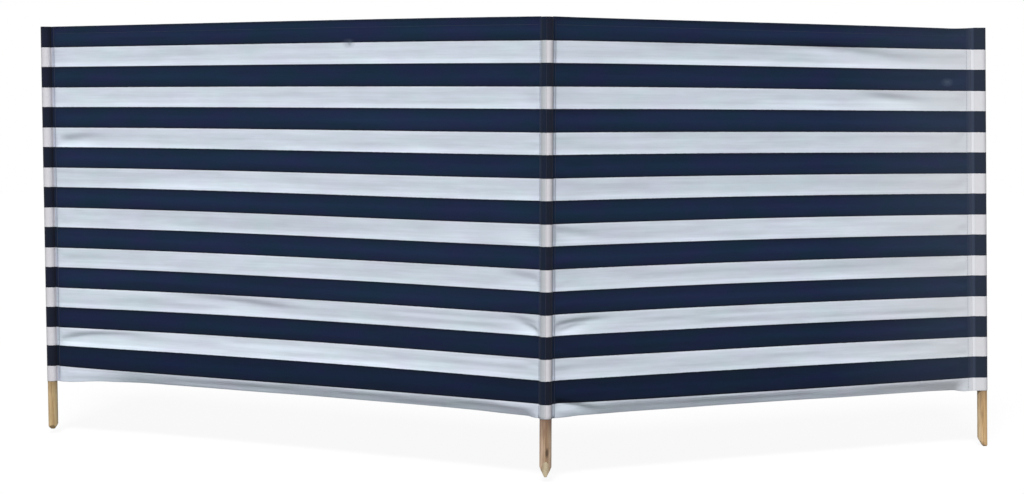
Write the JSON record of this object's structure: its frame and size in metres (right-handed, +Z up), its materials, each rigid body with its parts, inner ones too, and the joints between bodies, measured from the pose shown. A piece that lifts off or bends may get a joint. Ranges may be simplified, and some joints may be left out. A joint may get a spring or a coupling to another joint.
{
  "type": "beach windbreak",
  "caption": "Free-standing beach windbreak: striped cloth in bays, carried in sewn pockets on pointed wooden poles, folding about the middle pole.",
  "frame": {"origin": "flat tip of the middle pole's foot", "axes": "+Z up along the middle pole, +X to the viewer's right, +Y towards the back, where both bays run; the front, with the middle pole nearest, faces -Y"},
  "size_m": [2.8118, 0.9638, 1.2243],
  "materials": {
    "navy_canvas": "plain woven cotton canvas, matt",
    "white_canvas": "plain woven cotton canvas, matt, cool white",
    "middle_pole_wood": "bare softwood, weathered brown",
    "end_pole_wood": "bare softwood, light tan"
  },
  "bodies": {
    "middle": {"middle_pole": "middle_pole_wood", "middle_pocket_navy_stripes": "navy_canvas", "middle_pocket_white_stripes": "white_canvas", "middle_pocket_cap": "navy_canvas"},
    "left_bay": {"left_pole": "end_pole_wood", "left_pocket_navy_stripes": "navy_canvas", "left_pocket_white_stripes": "white_canvas", "left_pocket_cap": "navy_canvas", "left_bay_navy_stripes": "navy_canvas", "left_bay_white_stripes": "white_canvas", "left_bay_top_hem": "navy_canvas", "left_bay_bottom_hem": "white_canvas"},
    "right_bay": {"right_pole": "end_pole_wood", "right_pocket_navy_stripes": "navy_canvas", "right_pocket_white_stripes": "white_canvas", "right_pocket_cap": "navy_canvas", "right_bay_navy_stripes": "navy_canvas", "right_bay_white_stripes": "white_canvas", "right_bay_top_hem": "navy_canvas", "right_bay_bottom_hem": "white_canvas"}
  },
  "joints": [
    {"name": "left_swing", "type": "hinge", "parent": "middle", "child": "left_bay", "pos_m": [0, 0, 0.682], "axis": [0, 0, 1], "range_deg": [-46, 110]},
    {"name": "right_swing", "type": "hinge", "parent": "middle", "child": "right_bay", "pos_m": [0, 0, 0.682], "axis": [0, 0, -1], "range_deg": [-49, 107]}
  ]
}
